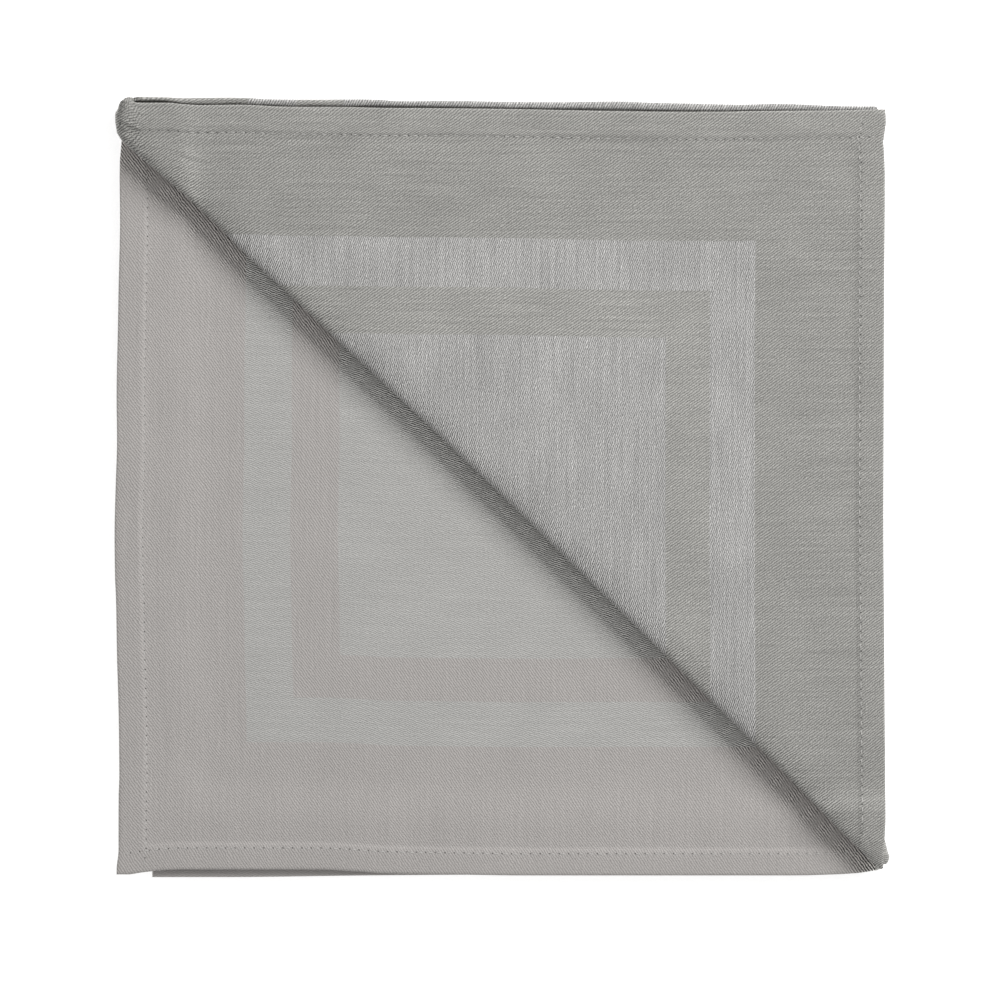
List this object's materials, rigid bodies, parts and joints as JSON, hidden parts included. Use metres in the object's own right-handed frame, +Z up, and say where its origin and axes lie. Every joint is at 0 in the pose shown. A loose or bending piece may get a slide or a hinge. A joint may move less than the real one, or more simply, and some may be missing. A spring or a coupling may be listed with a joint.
{
  "type": "folded cloth napkin",
  "caption": "Square damask cloth napkin folded in quarters, with the free corner of its top layer turned back across the diagonal in a soft rolled fold.",
  "frame": {"origin": "middle of the folded napkin's footprint, on the surface it lies on", "axes": "+Z up, through the layers; +X towards the folded side with the two stacked creases; +Y towards the outer folded side"},
  "size_m": [0.2536, 0.255, 0.0128],
  "materials": {
    "damask": "off-white damask cloth, matt ground with slightly shinier woven bands"
  },
  "bodies": {
    "root": {"napkin": "damask"}
  },
  "joints": []
}
